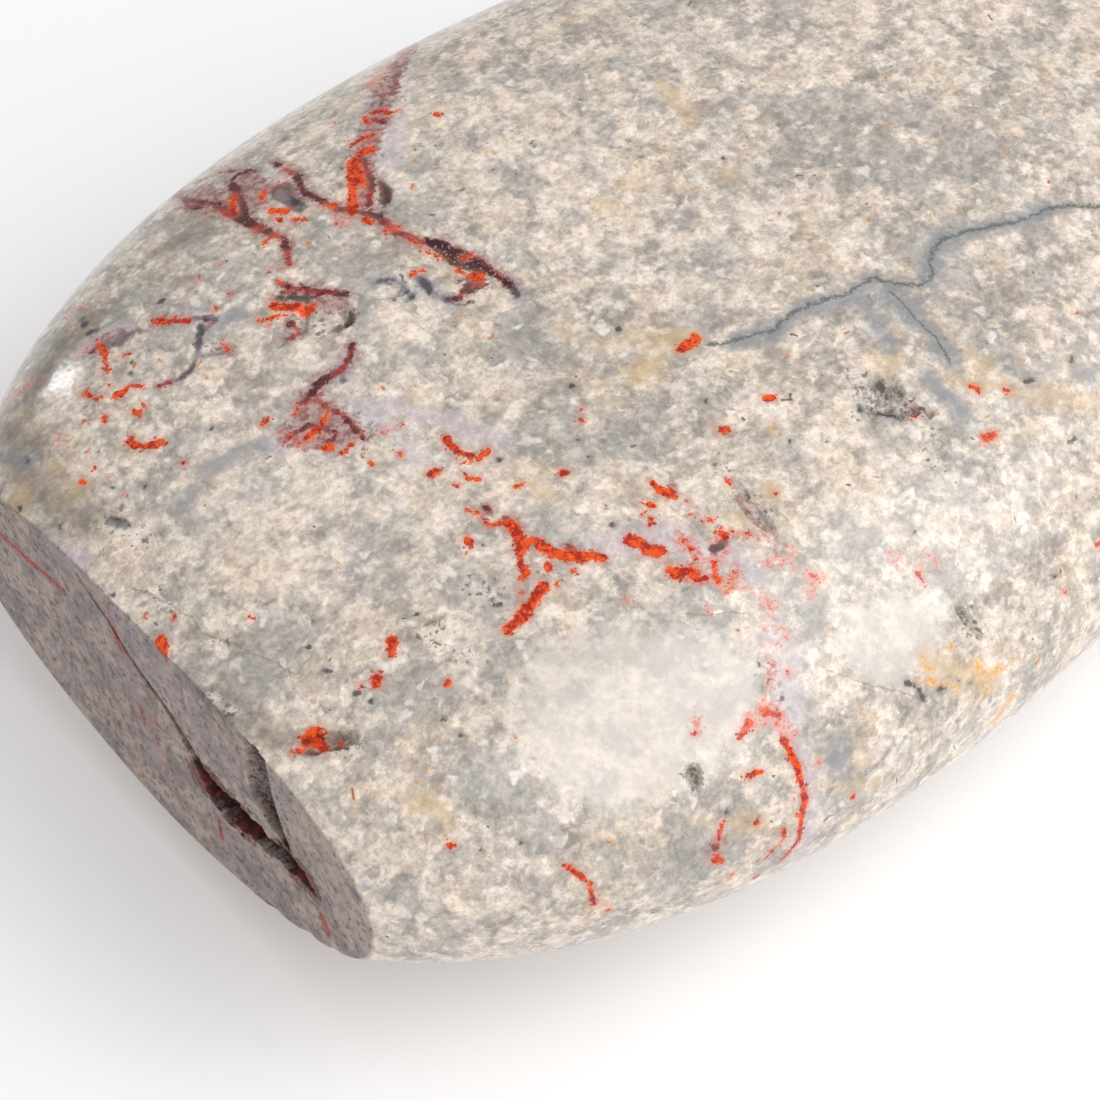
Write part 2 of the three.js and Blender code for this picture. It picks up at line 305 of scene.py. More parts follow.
BLUSH = {
    0.8: [(378, 78, 386, 70)],
    0.6: [(672, 572, 690, 574, 706, 578)],
    0.55: [(371, 84, 377, 88)],
    0.5: [
        (363, 206, 364, 185, 367, 160), (366, 150, 373, 128, 380, 112), (930, 557, 935, 564),
        (366, 186, 368, 204), (716, 542, 722, 551), (752, 722, 776, 715), (790, 560, 772, 562),
        (680, 540, 692, 548, 700, 560), (766, 601, 775, 606, 772, 612),
    ],
    0.45: [(893, 555, 899, 563), (384, 431), (805, 590, 809, 597), (284, 432, 300, 440, 318, 440)],
    0.4: [
        (386, 96, 393, 78, 402, 60, 414, 43), (337, 211, 346, 222), (780, 639), (731, 584, 738, 573),
        (766, 700, 780, 720, 790, 736),
    ],
    0.35: [
        (270, 300, 300, 303, 318, 300), (983, 439, 994, 436), (707, 612), (770, 652, 772, 672, 770, 692),
        (6, 402, 20, 390, 36, 381), (318, 395, 306, 408),
    ],
    0.3: [
        (350, 215, 335, 216), (808, 573, 820, 579), (714, 560, 716, 582, 722, 590), (763, 564, 776, 561),
    ],
    0.25: [(760, 708, 752, 724), (68, 312, 78, 310)],
    0.24: [(749, 589, 762, 598)],
    0.22: [(764, 618, 767, 630), (176, 790, 186, 806)],
    0.2: [
        (733, 533, 755, 535, 770, 536), (784, 625), (697, 716, 699, 735), (74, 324), (82, 346, 83, 352),
        (150, 716, 158, 748, 168, 770),
    ],
    0.18: [(779, 544, 794, 547), (787, 548, 788, 559)],
    0.16: [(741, 494, 753, 511, 762, 524, 773, 536), (54, 437, 66, 441), (104, 600, 118, 640, 132, 676)],
}
GARNET = {
    0.42: [(221, 209, 232, 214, 242, 219, 252, 225, 262, 229)],
    0.34: [(385, 222, 396, 232, 407, 235, 419, 240, 432, 244, 445, 245), (569, 549, 574, 551)],
    0.32: [(232, 185, 235, 189, 238, 195, 244, 208, 242, 217)],
    0.3: [
        (458, 254, 474, 258, 483, 265, 496, 273, 509, 284), (362, 160, 368, 172, 371, 190, 369, 204),
        (374, 120, 384, 122), (284, 285, 301, 290, 319, 292, 345, 294), (326, 378, 318, 387),
        (506, 520, 512, 528), (345, 366, 336, 374, 326, 378), (250, 222, 262, 228, 270, 232),
    ],
    0.28: [(329, 205, 339, 209, 349, 210, 363, 213, 375, 216, 385, 222)],
    0.26: [
        (175, 195, 192, 201, 204, 203, 214, 204, 221, 209),
        (262, 229, 272, 235, 283, 238, 285, 245, 288, 255, 289, 264),
        (285, 169, 297, 174, 299, 182, 303, 190, 311, 196, 320, 200, 329, 205),
        (318, 387, 310, 395, 301, 403), (714, 846, 716, 849),
    ],
    0.24: [
        (292, 323, 299, 331, 291, 339), (317, 400, 329, 409, 342, 414, 351, 423, 363, 437),
        (352, 345, 350, 356, 345, 366),
    ],
    0.2: [
        (153, 321, 172, 320), (486, 509, 490, 511), (92, 352, 100, 345), (172, 382, 160, 386),
        (180, 190, 188, 206, 200, 208),
    ],
    0.16: [(284, 442, 291, 434, 306, 426, 317, 426, 338, 434, 329, 442)],
    0.14: [(226, 350, 231, 353)],
    0.12: [(198, 182, 216, 174, 232, 171, 244, 170, 256, 171), (232, 180, 239, 174, 251, 172)],
    0.1: [(272, 163, 280, 166)],
}
LILAC = {
    1.1: [(784, 660, 786, 690, 790, 720)],
    1.0: [(735, 556, 752, 572)],
    0.9: [
        (590, 545, 625, 543, 660, 532), (660, 540, 690, 545, 712, 560), (58, 556, 76, 562),
        (92, 348, 120, 332),
    ],
    0.8: [(392, 128, 393, 150), (774, 636, 784, 644)],
    0.7: [(350, 410, 400, 408, 450, 420, 500, 440), (112, 610, 150, 662, 196, 722, 232, 764)],
    0.65: [(799, 749, 810, 772, 814, 793, 812, 814, 804, 839, 795, 862)],
    0.6: [(384, 150, 392, 164), (276, 440, 284, 446), (365, 415, 380, 420, 400, 440, 420, 455)],
    0.55: [(89, 591, 110, 622, 128, 673, 143, 719, 156, 757, 171, 780, 190, 812)],
    0.5: [
        (352, 341, 350, 350, 345, 360, 340, 370, 343, 381), (398, 118, 402, 140),
        (211, 802, 219, 818, 222, 839, 228, 853), (192, 319, 216, 319),
    ],
    0.4: [(374, 92, 370, 100)],
    0.35: [(405, 60, 407, 90), (267, 174, 267, 185)],
}
SLATE = {
    0.6: [
        (735, 342, 774, 331, 800, 312, 843, 296, 873, 280),
        (891, 293, 904, 303, 917, 321, 935, 336, 950, 362),
    ],
    0.5: [
        (265, 448, 234, 454, 206, 471), (838, 750, 840, 775), (930, 380, 950, 400, 965, 415),
        (930, 278, 932, 252, 945, 237, 975, 229, 1006, 224, 1065, 205), (1078, 373, 1090, 375),
    ],
    0.4: [(419, 278, 427, 287, 437, 296, 449, 300), (860, 300, 880, 330, 890, 350)],
    0.3: [
        (377, 283, 390, 279, 401, 284, 412, 298), (206, 330, 216, 326, 226, 319, 239, 312),
        (0, 457, 16, 458, 34, 460),
    ],
    0.25: [(509, 284, 519, 295)],
    0.22: [(204, 474, 193, 494, 179, 510)],
    0.2: [(256, 171, 269, 155)],
    0.12: [(368, 304, 361, 325)],
}
# Dull brown-grey marks: partly stains, and partly painted shade in the bands along the upper-left rim and the
# rounded left end, where the crown turns away from the light.
DRAB_AND_RIM_SHADE = {
    1.5: [(18, 470, 50, 490, 85, 520)],
    1.2: [(10, 430, 40, 450)],
    1.0: [(100, 310, 60, 350, 25, 400)],
    0.8: [(170, 250, 220, 205)],
    0.7: [(214, 700, 250, 728, 284, 740)],
}
AMBER = {
    0.34: [(1012, 697, 1004, 708, 994, 722)],
    0.26: [(976, 662, 984, 668, 990, 672), (999, 669, 1010, 664)],
    0.22: [(918, 679, 935, 683, 955, 688)],
    0.2: [(951, 646, 953, 651), (986, 680, 988, 694), (772, 424, 778, 430)],
    0.16: [(722, 583, 731, 590), (920, 660, 930, 664), (845, 729, 850, 727)],
    0.14: [(863, 636, 865, 644), (873, 716, 876, 720)],
}
OCHRE = {
    0.9: [(930, 665, 960, 672, 990, 682)],
    0.8: [(645, 340, 690, 341)],
    0.7: [(418, 797, 438, 815), (635, 375, 655, 365)],
    0.6: [(632, 182, 652, 188), (880, 362, 895, 356)],
    0.5: [
        (18, 500, 22, 512), (596, 208, 612, 206), (1040, 398, 1085, 402), (735, 180),
        (733, 518, 745, 524), (1070, 365, 1074, 372), (975, 355, 985, 370),
    ],
    0.4: [
        (66, 488, 76, 492), (668, 88, 680, 105, 690, 118), (728, 172, 742, 177), (740, 825, 757, 823),
        (538, 492, 544, 492),
    ],
    0.35: [(1023, 431)],
    0.3: [
        (765, 492, 780, 500), (52, 466, 58, 470), (940, 380, 980, 386, 1020, 390, 1060, 398, 1095, 400),
        (701, 820), (862, 758),
    ],
    0.25: [(561, 326, 588, 342, 620, 344, 652, 340), (823, 789)],
    0.2: [(846, 824, 860, 816)],
    0.15: [(837, 786, 860, 784, 880, 782)],
}
INK = {
    0.3: [(498, 605), (880, 380, 884, 384)],
    0.28: [(278, 297, 292, 299, 306, 300)],
    0.26: [
        (307, 750, 316, 753, 322, 748), (355, 694, 358, 692), (908, 682, 914, 686), (919, 690, 925, 699),
    ],
    0.24: [(309, 647), (20, 508), (572, 386), (416, 615), (112, 595), (882, 409, 890, 416, 902, 418)],
    0.22: [(618, 329), (444, 720), (1026, 382, 1031, 381), (1072, 360)],
    0.2: [
        (292, 751, 297, 753), (705, 402), (342, 168), (557, 451), (612, 525), (319, 752),
        (938, 690, 946, 689), (914, 532), (1077, 497), (1055, 576), (859, 404, 861, 415), (925, 411),
    ],
    0.18: [(160, 302, 164, 300), (370, 702), (460, 735), (381, 104)],
    0.16: [
        (755, 496), (131, 362), (333, 745, 345, 748), (325, 671, 330, 671), (641, 156), (589, 456),
        (499, 460), (484, 546), (725, 812), (970, 684), (1075, 437, 1069, 442), (394, 297), (412, 297),
    ],
    0.14: [
        (145, 486), (702, 668), (590, 463), (496, 578), (747, 823), (758, 818), (759, 860), (957, 679),
    ],
    0.12: [(113, 488), (60, 526), (516, 174), (724, 158)],
    0.1: [(755, 519), (765, 512), (538, 262)],
}
CHALK = {
    0.8: [(872, 392, 886, 400, 900, 404)],
    0.7: [(860, 378, 856, 392, 862, 412)],
    0.6: [(362, 420, 368, 436, 366, 452), (466, 580, 480, 590, 492, 600)],
    0.5: [
        (211, 700, 224, 707, 242, 714), (262, 768, 274, 792, 284, 826),
        (300, 322, 320, 326, 340, 322, 350, 312), (905, 402, 912, 408), (374, 190, 374, 202),
        (966, 608, 972, 632), (430, 634, 450, 645, 474, 656), (106, 526, 128, 533, 148, 541),
    ],
    0.4: [
        (345, 745, 362, 750), (158, 597, 168, 606), (393, 292, 412, 294), (930, 430, 932, 450, 938, 462),
        (768, 664, 780, 700),
    ],
    0.35: [(309, 417), (722, 464, 730, 478, 738, 488, 747, 499, 756, 511, 766, 518), (386, 84, 388, 90)],
    0.3: [
        (205, 762, 214, 778), (326, 436), (341, 447), (201, 348, 222, 346), (544, 569, 550, 574),
        (695, 772, 690, 780),
    ],
}
CRACKS = {
    0.2: [
        (710, 344, 738, 340, 774, 329, 794, 313, 815, 303, 843, 294, 873, 278),
        (873, 278, 899, 285, 919, 286, 930, 278, 932, 252, 945, 237),
        (945, 237, 975, 229, 1006, 224, 1032, 215, 1065, 205, 1100, 206),
    ],
    0.1: [(891, 293, 904, 303, 917, 321, 935, 336, 950, 362)],
    0.08: [(291, 339, 286, 343, 281, 347)],
}
HAIRLINES = {
    0.09: [
        (133, 589, 153, 594, 168, 604, 191, 617, 204, 635, 237, 645, 255, 655),
        (255, 655, 276, 663, 293, 673),
    ],
    0.07: [(830, 671, 868, 684, 896, 691, 939, 704)],
    0.06: [(685, 613, 709, 615, 731, 612, 748, 613)],
}
SMOKE = {
    0.4: [(110, 522, 124, 525)],
    0.34: [(128, 335, 118, 340, 108, 346)],
    0.3: [
        (82, 320, 84, 324), (280, 195, 292, 202, 302, 208), (340, 368, 343, 380),
        (714, 549, 720, 547, 724, 543),
    ],
    0.28: [(419, 278, 427, 287, 437, 296, 449, 300)],
    0.26: [(192, 319, 216, 318)],
    0.24: [(90, 332, 95, 330), (508, 285, 518, 295), (24, 458, 28, 460)],
    0.22: [(181, 378, 173, 382)],
    0.2: [(200, 325, 199, 336, 199, 347, 197, 356), (104, 344, 120, 339, 132, 332, 139, 330)],
    0.18: [(200, 356, 219, 354, 228, 351)],
    0.16: [
        (197, 356, 190, 371, 181, 378), (139, 331, 130, 334), (377, 283, 390, 279, 401, 284, 412, 298),
        (574, 555, 584, 555),
    ],
    0.12: [(122, 498, 122, 508)],
    0.1: [(130, 373, 134, 377, 139, 380)],
}
# Broad zones where the rock leans to cream, and to a clear grey.
PALE_ZONES = {
    4.5: [(230, 520, 330, 540, 390, 500)],
    4.0: [(470, 130, 560, 170, 600, 230)],
    3.5: [(850, 460, 900, 500)],
    3.0: [(300, 800, 330, 880)],
    2.5: [(420, 330, 480, 350), (700, 250, 760, 230)],
    2.0: [(520, 480, 580, 500)],
}
GREY_ZONES = {
    3.5: [(760, 130, 900, 160, 1000, 120)],
    3.0: [(60, 340, 140, 300), (600, 860, 700, 850)],
    2.5: [
        (520, 330, 580, 380, 640, 420), (410, 720, 460, 770, 500, 800), (930, 250, 960, 320, 1000, 300),
    ],
    2.2: [(690, 650, 730, 690)],
    2.0: [
        (320, 235, 390, 250), (20, 420, 50, 380, 90, 340, 140, 290), (640, 440, 700, 430),
        (830, 745, 840, 790), (225, 680, 280, 650), (520, 430, 560, 440),
    ],
    1.5: [(200, 235, 250, 190)],
    0.6: [(348, 797)],
    0.5: [(277, 649, 283, 649), (224, 675, 230, 675)],
}
# Patches, drawn as closed outlines in the photo's pixels, given in the same way.
PALE_CLASTS = [
    (545, 640, 600, 625, 660, 622, 720, 632, 755, 655, 762, 700, 750, 740, 715, 770, 679, 794, 633,
     809, 592, 813, 551, 794, 533, 758, 510, 702, 525, 661),
    (842, 612, 870, 596, 910, 592, 942, 606, 950, 640, 938, 676, 905, 690, 866, 682, 844, 652),
]
DARK_PATCHES = [
    (422, 236, 435, 238, 447, 245, 470, 252, 483, 265, 507, 279, 509, 286, 494, 278, 470, 272, 451,
     266, 438, 254, 427, 246),
]
WINE_PATCHES = [
    (276, 288, 290, 285, 306, 291, 322, 294, 306, 298, 290, 301, 277, 298),
    (463, 274, 494, 279, 494, 286, 480, 291, 468, 301, 452, 300, 463, 287),
]
MAUVE_PATCHES = [
    (352, 210, 372, 210, 374, 188, 378, 150, 386, 120, 398, 84, 410, 58, 419, 44, 408, 42, 396, 56,
     384, 78, 372, 96, 364, 120, 356, 150, 352, 185),
    (290, 290, 318, 292, 345, 296, 350, 308, 330, 314, 300, 306, 286, 300),
    (222, 182, 240, 174, 262, 174, 272, 186, 268, 204, 250, 216, 238, 206, 228, 196),
    (180, 192, 205, 184, 222, 190, 226, 204, 212, 206, 190, 202),
    (94, 338, 108, 332, 128, 330, 140, 328, 134, 338, 112, 350, 102, 352),
    (202, 318, 214, 314, 218, 322, 208, 328),
    (296, 392, 318, 386, 330, 404, 352, 424, 364, 440, 340, 446, 312, 448, 284, 444, 280, 430, 300,
     412),
]
RUSSET_PATCHES = [
    (329, 332, 338, 325, 346, 315, 352, 309, 356, 315, 354, 324, 347, 329, 338, 333),
    (271, 188, 284, 182, 294, 185, 298, 195, 308, 206, 300, 213, 292, 211, 284, 204, 272, 199),
    (378, 180, 386, 183, 393, 190, 390, 200, 385, 207, 380, 196),
    (397, 61, 401, 70, 397, 85, 393, 96, 389, 95, 393, 80, 394, 66),
]

# Open pits in the crown: the middle in plan, the length, width and depth, and the heading from +X.
CROWN_PITS = [
    (-3.7, -19.9, 4.8, 3.6, 1.0, 35),
    (-2.6, -22.1, 1.9, 1.3, 1.0, -40),
    (-1.4, -23.3, 1.1, 0.9, 0.8, 10),
    (-3.4, -25.7, 3.0, 0.8, 0.25, -70),
    (-9.6, -37.0, 2.6, 0.9, 0.8, -75),
    (-35.4, -34.5, 1.7, 1.3, 1.0, 60),
    (-30.8, 12.8, 1.9, 1.1, 1.0, 60),
    (-33.4, 14.9, 3.6, 1.2, 0.5, 45),
    (-20.2, 21.2, 2.6, 1.2, 0.9, 50),
    (-26.4, 12.2, 3.0, 0.9, 0.5, -30),
    (-55.6, -15.6, 5.0, 1.5, 1.3, -35),
    (-43.8, -13.7, 3.0, 0.6, 0.5, -20),
]

# Furrows as stops of x, y, half width and depth on the crown, and y, z, half width and depth on the cut.
CROWN_SCUFF = [
    (-18.2, -18.6, 0.2, 0.2),
    (-18.5, -20.0, 0.6, 0.6),
    (-18.9, -21.8, 0.5, 0.5),
    (-18.7, -23.4, 0.6, 0.6),
    (-19.0, -25.0, 0.2, 0.2),
]
CREVICE = [
    (10.4, 28.0, 0.15, 0.4),
    (8.9, 27.0, 0.18, 0.5),
    (6.4, 25.7, 0.22, 0.7),
    (4.3, 23.8, 0.2, 0.7),
    (1.6, 22.6, 0.25, 0.9),
    (-1.2, 21.2, 0.35, 1.1),
    (-3.6, 19.0, 0.6, 1.8),
    (-5.0, 17.4, 0.9, 2.8),
    (-7.2, 16.4, 2.0, 4.6),
    (-9.8, 17.0, 1.6, 4.2),
    (-12.2, 17.1, 1.2, 3.0),
    (-13.8, 17.3, 1.0, 2.2),
    (-15.4, 17.8, 1.3, 3.2),
    (-16.9, 17.6, 0.9, 2.6),
    (-18.4, 16.8, 0.2, 0.6),
]
SLIVER_EDGE = [(-13.0, 30.5), (-13.8, 24.6), (-14.9, 21.3), (-15.9, 19.2), (-13.2, 20.2)]
SLIVER_EDGE += [(-11.4, 21.4), (-10.8, 24.2), (-10.9, 30.5)]
SLIVER_DEPTH = (1.9, 0.4)
# The red lining of the hollows: a half width, and stops of y and z on the sawn face.
CAVITY_LININGS = [(2.3, [(-5.0, 17.0), (-9.4, 16.8)]), (1.8, [(-15.0, 17.8), (-17.6, 17.4)])]
# Chips out of the lower edge of the sawn face: y, z, the length and the depth.
EDGE_CHIPS = [(-13.2, 8.0, 2.4, 0.12), (-17.4, 9.7, 2.8, 0.16), (-20.6, 11.5, 1.8, 0.1)]

# Gaps are measured up to this far from a marking, and signed gaps up to so many half widths.
FAR = 6.0
SIDE_LIMIT = 40
# What counts as no length, no area, and as lying on the sawn face.
TINY = 1e-9
NO_AREA = 1e-14
ON_FACE = 1e-3

# The relief of the flaws: how far it reaches, the size of its lumps and of its grit, how much the lumps
# shake each form's outline, and how a pit's wall falls.
FLAW_REACH = 4.0
LUMP_SIZE = 0.7
GRIT_SIZE = 0.28
PIT_SHAKE = 0.35
PIT_POWER = 2.5
FURROW_SHAKE = 0.5
CHIP_SHAKE = 0.3
SLIVER_WIDTH = 3.2
SLIVER_RIM = 0.15
SLIVER_EDGE_WIDTH = 0.3
# The grain of broken rock: the depth where it starts and where it is full. Then its share of that depth,
# and how much of it is lumps, in the pits and in the cut face.
GRAIN_START = 0.05
GRAIN_DEPTH = 0.6
PIT_GRAIN = (0.3, 0.5)
CUT_GRAIN = (0.35, 0.6)

# How unseen a place is where it is edge-on to the camera, and the facing over which that runs from 0 to 1.
UNSEEN_EDGE_ON = 0.2
UNSEEN_SPAN = 0.2
# Vertices closer than this are joined, and edges that turn more than this are sharp.
WELD = 1e-4
SHARP_ANGLE = math.radians(38)

# The markings by the name of their field on the mesh.
STROKES = {"cinnabar": CINNABAR, "blush": BLUSH, "garnet": GARNET, "lilac": LILAC, "slate": SLATE}
STROKES |= {"ochre": OCHRE, "amber": AMBER, "drab_and_rim_shade": DRAB_AND_RIM_SHADE, "ink": INK, "smoke": SMOKE, "chalk": CHALK}
STROKES |= {"pale": PALE_ZONES, "grey": GREY_ZONES}
PATCHES = {"clast": PALE_CLASTS, "dark": DARK_PATCHES, "russet": RUSSET_PATCHES, "mauve": MAUVE_PATCHES}
PATCHES |= {"wine": WINE_PATCHES}
LINES = {"crack": CRACKS, "hairline": HAIRLINES}
# The markings that need a fine mesh.
SHARP_STROKES = ("cinnabar", "garnet", "ink", "smoke")
SHARP_PATCHES = ("dark", "russet", "wine")

# The floor's half length and look. Then the soft lights: the way to each from the stone, its distance,
# sides and watts. Last, the strength of the surround, and how far the camera sees.
FLOOR_HALF = 2000
FLOOR_LOOK = {"Base Color": (0.88, 0.88, 0.88, 1), "Roughness": 0.9}
FLOOR_LOOK |= {"Emission Color": (0.97, 0.95, 1, 1), "Emission Strength": 0.16}
SOFTBOXES = {
    "key": ((0.5, -0.35, 0.8), 600, (380, 380), 0.6),
    "overhead": ((0.2, -0.7, 1.0), 900, (900, 900), 6.0),
    "glint": ((-0.12, 0.93, 0.35), 530, (20, 106), 0.13),
}
SURROUND = 0.4
VIEW_DEPTH = 10_000


def dot(first, second):
    """The dot product of each row of one array with the same row of another."""
    return np.einsum("ij,ij->i", first, second)


def off_segment(points, start, end):
    """How far along a segment each point lies, as a share of it, and its offset from the segment."""
    way = end - start
    away = points - start
    share = np.clip(away @ way / max(way @ way, TINY), 0, 1)
    return share, away - share[:, None] * way


def nearest_on_path(points, stops):
    """Each point's distance to a path, and the values that the path's stops carry, at the nearest place."""
    best = np.full(len(points), np.inf)
    carried = np.zeros((len(points), stops.shape[1] - 3))
    if len(stops) == 1:
        stops = np.concatenate([stops, stops])
    for start, end in zip(stops, stops[1:]):
        share, offset = off_segment(points, start[:3], end[:3])
        distance = np.linalg.norm(offset, axis=1)
        closer = distance < best
        best[closer] = distance[closer]
        carried[closer] = start[3:] + share[closer, None] * (end[3:] - start[3:])
    return best, carried


def near(points, stops, reach):
    """Which points lie in the box round a path, grown by a reach."""
    inside = (points > stops[:, :3].min(0) - reach) & (points < stops[:, :3].max(0) + reach)
    return np.nonzero(inside.all(axis=1))[0]


def gap_to_strokes(points, strokes):
    """How far each point is outside the nearest of the strokes, in millimetres, and less than 0 in one."""
    gap = np.full(len(points), FAR)
    for half_width, stops in strokes:
        some = near(points, stops, FAR)
        distance, _ = nearest_on_path(points[some], stops)
        gap[some] = np.minimum(gap[some], distance - half_width)
    return gap


def inside_outline(pixels, outline):
    """Which pixels lie inside a closed outline."""
    inside = np.zeros(len(pixels), bool)
    for (x0, y0), (x1, y1) in zip(outline, outline[1:] + outline[:1]):
        crosses = (y0 > pixels[:, 1]) != (y1 > pixels[:, 1])
        rise = (y1 - y0) or TINY
        inside ^= crosses & (pixels[:, 0] < x0 + (pixels[:, 1] - y0) / rise * (x1 - x0))
    return inside


def gap_to_patches(points, rays, facing, patches):
    """How far each point is outside the nearest patch, and less than 0 inside one."""
    gap = np.full(len(points), FAR)
    pixels = rays.pixels(points)
    for outline in map(pairs, patches):
        stops = rays.path(outline + outline[:1])
        some = near(points, stops, FAR)
        distance, _ = nearest_on_path(points[some], stops)
        inside = inside_outline(pixels[some], outline) & facing[some]
        gap[some] = np.minimum(gap[some], np.where(inside, -distance, distance))
    return gap


def side_of_strokes(points, strokes, out):
    """The distance to the nearest thin stroke, and the same in half widths, signed by the side it is on."""
    nearest = np.full(len(points), FAR)
    signed = np.full(len(points), FAR)
    for half_width, stops in strokes:
        some = near(points, stops, FAR)
        for start, end in zip(stops, stops[1:]):
            _, offset = off_segment(points[some], start, end)
            distance = np.linalg.norm(offset, axis=1)
            side = np.sign(dot(np.cross(out[some], end - start), offset))
            closer = distance < nearest[some]
            nearest[some[closer]] = distance[closer]
            signed[some[closer]] = (distance * side)[closer] / half_width
    return nearest, np.clip(signed, -SIDE_LIMIT, SIDE_LIMIT)


def refined_sheet(strokes):
    """The stone's mesh, laid out flat, with its faces halved again and again near the markings."""
    sheet = grid_mesh(ring_stations(), ring_angles())
    for within in REFINED_WITHIN:
        close = gap_to_strokes(on_stone(sheet), strokes) < within
        sheet.verts.ensure_lookup_table()
        sheet.verts.index_update()
        faces = [f for f in sheet.faces if any(close[v.index] for v in f.verts)]
        edges = list(dict.fromkeys(e for f in faces for e in f.edges))
        bmesh.ops.subdivide_edges(sheet, edges=edges, cuts=1, use_grid_fill=True)
    return sheet


def outward(station, angle):
    """The way out of the stone's surface at each place."""
    here = stone_surface(station, angle)
    along = stone_surface(station + NUDGE, angle) - here
    around = stone_surface(station, angle + NUDGE) - here
    out = np.cross(around, along)
    out[np.linalg.norm(out, axis=1) < NO_AREA] = (0, 0, 1)
    out /= np.linalg.norm(out, axis=1)[:, None]
    return out


def turned_away(points, out):
    """How far each place is turned away from the camera: 0 where it is seen, and 1 well behind."""
    toward = (CAMERA_AT - points) / np.linalg.norm(CAMERA_AT - points, axis=1)[:, None]
    return np.clip(UNSEEN_EDGE_ON - dot(out, toward) / UNSEEN_SPAN, 0, 1)


def crown_height(x, y):
    """The height of the crown over a place in plan."""
    angles = np.linspace(END_ANGLE, math.pi - END_ANGLE, SAMPLES // 2)
    ring = ground_surface(np.full_like(angles, x - CENTRE[0]), angles)
    return np.interp(-y, -ring[:, 1], ring[:, 2])


def on_crown(stops):
    """Stops that start with x and y, put on the crown."""
    return np.array([(x, y, crown_height(x, y), *rest) for x, y, *rest in stops])


def on_cut(stops):
    """Stops that start with y and z, put on the sawn face."""
    return np.array([(low[0], *stop) for stop in stops])


def lumps(points, size):
    """Smooth random values from about -1 to 1 at places, which change over a size."""
    return np.array([noise.noise(Vector(p / size)) for p in points])


def lumps_near(points, flawed, size):
    """Lumps at the flawed places, and 0 elsewhere."""
    values = np.zeros(len(points))
    values[flawed] = lumps(points[flawed], size)
    return values


def roughened(depth, lump, grit, share, lumpiness):
    """A depth with the grain of broken rock in it."""
    grain = share * np.minimum(depth, GRAIN_DEPTH) * (grit + lumpiness * lump)
    return depth + np.where(depth > GRAIN_START, grain, 0)


def pit_depths(points, open_side, lump):
    """The depth of the crown's open pits: ovals with a flat floor and a steep wall."""
    depth = np.zeros(len(points))
    for x, y, length, width, deep, heading in CROWN_PITS:
        turn = math.radians(heading)
        right, forward = points[:, 0] - x, points[:, 1] - y
        along = (right * math.cos(turn) + forward * math.sin(turn)) / (length / 2)
        across = (forward * math.cos(turn) - right * math.sin(turn)) / (width / 2)
        reach = np.hypot(along, across) * (1 + PIT_SHAKE * lump)
        bowl = deep * np.clip(1 - reach**PIT_POWER, 0, 1)
        depth = np.maximum(depth, np.where(open_side, bowl, 0))
    return depth


def furrow_depths(points, stops, lump):
    """The depth of a furrow whose stops carry a half width and a depth."""
    depth = np.zeros(len(points))
    some = near(points, stops, FLAW_REACH)
    distance, carried = nearest_on_path(points[some], stops)
    half_width, deep = carried[:, 0], carried[:, 1]
    reach = distance / half_width * (1 + FURROW_SHAKE * lump[some])
    depth[some] = deep * np.sqrt(np.clip(1 - reach**2, 0, 1))
    return depth


def sliver_depths(points, sawn):
    """The depth of the sliver that is missing beside the crevice, which falls away from its shallow edge."""
    depth = np.zeros(len(points))
    inside = inside_outline(points[:, 1:], SLIVER_EDGE) & sawn
    rim, _ = nearest_on_path(points[inside], on_cut(SLIVER_EDGE + SLIVER_EDGE[:1]))
    shallow_side = SLIVER_EDGE[-1][0]
    across = np.clip((shallow_side - points[inside, 1]) / SLIVER_WIDTH, 0, 1)
    deepest, shallowest = SLIVER_DEPTH
    floor_depth = shallowest + (deepest - shallowest) * across
    depth[inside] = floor_depth * np.clip(rim / SLIVER_RIM, 0, 1)
    return depth


def chip_depths(points, lump):
    """The depth of the chips along the lower edge of the sawn face."""
    depth = np.zeros(len(points))
    for y, z, length, deep in EDGE_CHIPS:
        away = np.linalg.norm(points - on_cut([(y, z)]), axis=1) / (length / 2)
        depth = np.maximum(depth, deep * np.clip(1 - away * (1 + CHIP_SHAKE * lump), 0, 1))
    return depth


def flawed_stone(points, out):
    """The surface with its pits, furrow, crevice and chips, and how deep each place has sunk."""
    sawn = points[:, 0] < low[0] + ON_FACE
    scuff, crevice = on_crown(CROWN_SCUFF), on_cut(CREVICE)
    flaws = [*on_crown([pit[:2] for pit in CROWN_PITS]), *scuff[:, :3]]
    distance = np.min([np.linalg.norm(points - flaw, axis=1) for flaw in flaws], axis=0)
    flawed = np.nonzero((distance < FLAW_REACH) | sawn)[0]
    lump = lumps_near(points, flawed, LUMP_SIZE)
    grit = lumps_near(points, flawed, GRIT_SIZE)
    pit = pit_depths(points, (points[:, 2] > CENTRE[2]) & ~sawn, lump)
    pit = roughened(np.maximum(pit, furrow_depths(points, scuff, lump)), lump, grit, *PIT_GRAIN)
    cut = np.maximum(furrow_depths(points, crevice, lump) * sawn, sliver_depths(points, sawn))
    cut = roughened(cut, lump, grit, *CUT_GRAIN)
    chip = chip_depths(points, lump)
    sunk = points - out * pit[:, None]
    sunk[:, 0] += cut
    sunk[:, [0, 2]] += chip[:, None]
    return sunk, pit + cut + chip


def pairs(flat):
    """A flat run of pixels as a list of x, y pairs."""
    return list(zip(flat[::2], flat[1::2]))


def photo_strokes(rays, table):
    """The strokes of a table where they lie on the stone."""
    drawn = [(half_width, rays.path(pairs(run))) for half_width, runs in table.items() for run in runs]
    return [(half_width, stops) for half_width, stops in drawn if len(stops)]


